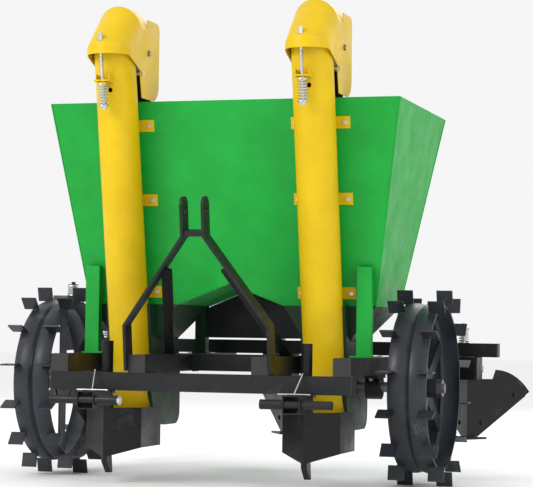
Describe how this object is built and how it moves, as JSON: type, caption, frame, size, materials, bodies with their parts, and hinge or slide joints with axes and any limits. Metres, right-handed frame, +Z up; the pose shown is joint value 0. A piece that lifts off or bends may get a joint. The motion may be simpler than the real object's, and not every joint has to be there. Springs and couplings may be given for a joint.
{
  "type": "two-row potato planter",
  "caption": "Tractor-mounted potato planter with a green hopper, yellow drop tubes over cup elevators, lugged drive wheels, furrow openers in front and sprung ridging bodies behind.",
  "frame": {"origin": "bottom centre of the whole machine's box, on the ground under the wheel lugs", "axes": "+X across the rows, to the right when looking at the hitch side; +Y from the hitch to the ridging bodies; +Z up"},
  "size_m": [1.772, 1.409, 1.6246],
  "materials": {
    "black_paint": "satin black enamel over welded steel",
    "wheel_paint": "satin blue-black enamel on rolled steel",
    "green_paint": "semi-gloss bright green powder coat",
    "dark_green_paint": "semi-gloss dark green enamel",
    "yellow_paint": "semi-gloss yellow powder coat",
    "zinc_plate": "bright zinc plated steel",
    "bare_steel": "turned mild steel, slightly oily",
    "belt_rubber": "ribbed black rubber belt with moulded cups",
    "black_plastic": "moulded black polyethylene plugs"
  },
  "bodies": {
    "frame": {"front_toolbar": "black_paint", "outer_beams": "black_paint", "inner_beams": "black_paint", "crossbars": "black_paint", "rear_toolbar": "black_paint", "end_caps": "black_plastic", "hitch_stubs": "black_paint", "hitch_pins": "black_paint", "lynch_pins": "zinc_plate", "mast_straps": "black_paint", "mast_braces": "black_paint", "drop_tube_left": "yellow_paint", "boot_left": "dark_green_paint", "cup_belt_left": "belt_rubber", "drop_tube_right": "yellow_paint", "boot_right": "dark_green_paint", "cup_belt_right": "belt_rubber", "tension_springs": "zinc_plate", "tension_brackets": "yellow_paint", "hopper_front": "green_paint", "hopper_rear": "green_paint", "hopper_sides": "green_paint", "hopper_floor": "green_paint", "feed_boxes": "dark_green_paint", "hopper_posts": "green_paint", "rear_posts": "dark_green_paint", "rear_panel": "black_paint", "tube_straps": "yellow_paint", "fasteners": "zinc_plate", "opener_sleeves": "black_paint", "bearings": "black_paint", "ridger_brackets": "black_paint", "ridger_pivots": "zinc_plate", "trip_springs": "zinc_plate", "marker_post": "black_paint", "marker_spring": "zinc_plate"},
    "running_gear": {"axle": "bare_steel", "drive_rollers": "bare_steel", "wheel_lugs": "wheel_paint", "wheel_rim_left": "wheel_paint", "wheel_rim_right": "wheel_paint", "wheel_disc_left": "wheel_paint", "wheel_disc_right": "wheel_paint"},
    "head_left": {"hood_left": "yellow_paint", "tension_rod_left": "zinc_plate"},
    "top_roller_left": {"top_roller_left": "bare_steel"},
    "opener_left": {"opener_left": "black_paint"},
    "head_right": {"hood_right": "yellow_paint", "tension_rod_right": "zinc_plate"},
    "top_roller_right": {"top_roller_right": "bare_steel"},
    "opener_right": {"opener_right": "black_paint"},
    "ridger_left": {"ridger_shank_left": "black_paint", "ridger_wings_left": "black_paint"},
    "trip_rod_left": {"trip_rod_left": "zinc_plate"},
    "ridger_center": {"ridger_shank_center": "black_paint", "ridger_wings_center": "black_paint"},
    "trip_rod_center": {"trip_rod_center": "zinc_plate"},
    "ridger_right": {"ridger_shank_right": "black_paint", "ridger_wings_right": "black_paint"},
    "trip_rod_right": {"trip_rod_right": "zinc_plate"}
  },
  "joints": [
    {"name": "wheels_spin", "type": "hinge", "parent": "frame", "child": "running_gear", "pos_m": [0, -0.15545, 0.33265], "axis": [1, 0, 0], "continuous": true},
    {"name": "head_tilt_left", "type": "hinge", "parent": "frame", "child": "head_left", "pos_m": [-0.35, -0.44145, 1.39665], "axis": [-1, 0, 0], "range_deg": [0, 4], "stiffness_Nm_per_rad": 219, "springref_deg": -4.01, "deforming": ["tension_springs", "cup_belt_left"]},
    {"name": "top_roller_spin_left", "type": "hinge", "parent": "head_left", "child": "top_roller_left", "pos_m": [-0.35, -0.3764, 1.47465], "axis": [1, 0, 0], "continuous": true},
    {"name": "opener_depth_left", "type": "slide", "parent": "frame", "child": "opener_left", "axis": [0, 0, 1], "range_m": [-0.05, 0.04]},
    {"name": "head_tilt_right", "type": "hinge", "parent": "frame", "child": "head_right", "pos_m": [0.35, -0.44145, 1.39665], "axis": [-1, 0, 0], "range_deg": [0, 4], "stiffness_Nm_per_rad": 219, "springref_deg": -4.01, "deforming": ["tension_springs", "cup_belt_right"]},
    {"name": "top_roller_spin_right", "type": "hinge", "parent": "head_right", "child": "top_roller_right", "pos_m": [0.35, -0.3764, 1.47465], "axis": [1, 0, 0], "continuous": true},
    {"name": "opener_depth_right", "type": "slide", "parent": "frame", "child": "opener_right", "axis": [0, 0, 1], "range_m": [-0.05, 0.04]},
    {"name": "ridger_trip_left", "type": "hinge", "parent": "frame", "child": "ridger_left", "pos_m": [-0.7, 0.39555, 0.39165], "axis": [1, 0, 0], "range_deg": [0, 15], "stiffness_Nm_per_rad": 150, "springref_deg": -5.73},
    {"name": "trip_rod_slide_left", "type": "slide", "parent": "frame", "child": "trip_rod_left", "axis": [0, 0, -1], "range_m": [0, 0.0106], "deforming": ["trip_springs"]},
    {"name": "ridger_trip_center", "type": "hinge", "parent": "frame", "child": "ridger_center", "pos_m": [0, 0.39555, 0.39165], "axis": [1, 0, 0], "range_deg": [0, 15], "stiffness_Nm_per_rad": 150, "springref_deg": -5.73},
    {"name": "trip_rod_slide_center", "type": "slide", "parent": "frame", "child": "trip_rod_center", "axis": [0, 0, -1], "range_m": [0, 0.0106], "deforming": ["trip_springs"]},
    {"name": "ridger_trip_right", "type": "hinge", "parent": "frame", "child": "ridger_right", "pos_m": [0.7, 0.39555, 0.39165], "axis": [1, 0, 0], "range_deg": [0, 15], "stiffness_Nm_per_rad": 150, "springref_deg": -5.73},
    {"name": "trip_rod_slide_right", "type": "slide", "parent": "frame", "child": "trip_rod_right", "axis": [0, 0, -1], "range_m": [0, 0.0106], "deforming": ["trip_springs"]}
  ],
  "couplings": [
    {"joint": "top_roller_spin_left", "follows": "wheels_spin", "ratio": 1},
    {"joint": "top_roller_spin_right", "follows": "wheels_spin", "ratio": 1},
    {"joint": "trip_rod_slide_left", "follows": "ridger_trip_left", "m_per_rad": 0.04},
    {"joint": "trip_rod_slide_center", "follows": "ridger_trip_center", "m_per_rad": 0.04},
    {"joint": "trip_rod_slide_right", "follows": "ridger_trip_right", "m_per_rad": 0.04}
  ]
}
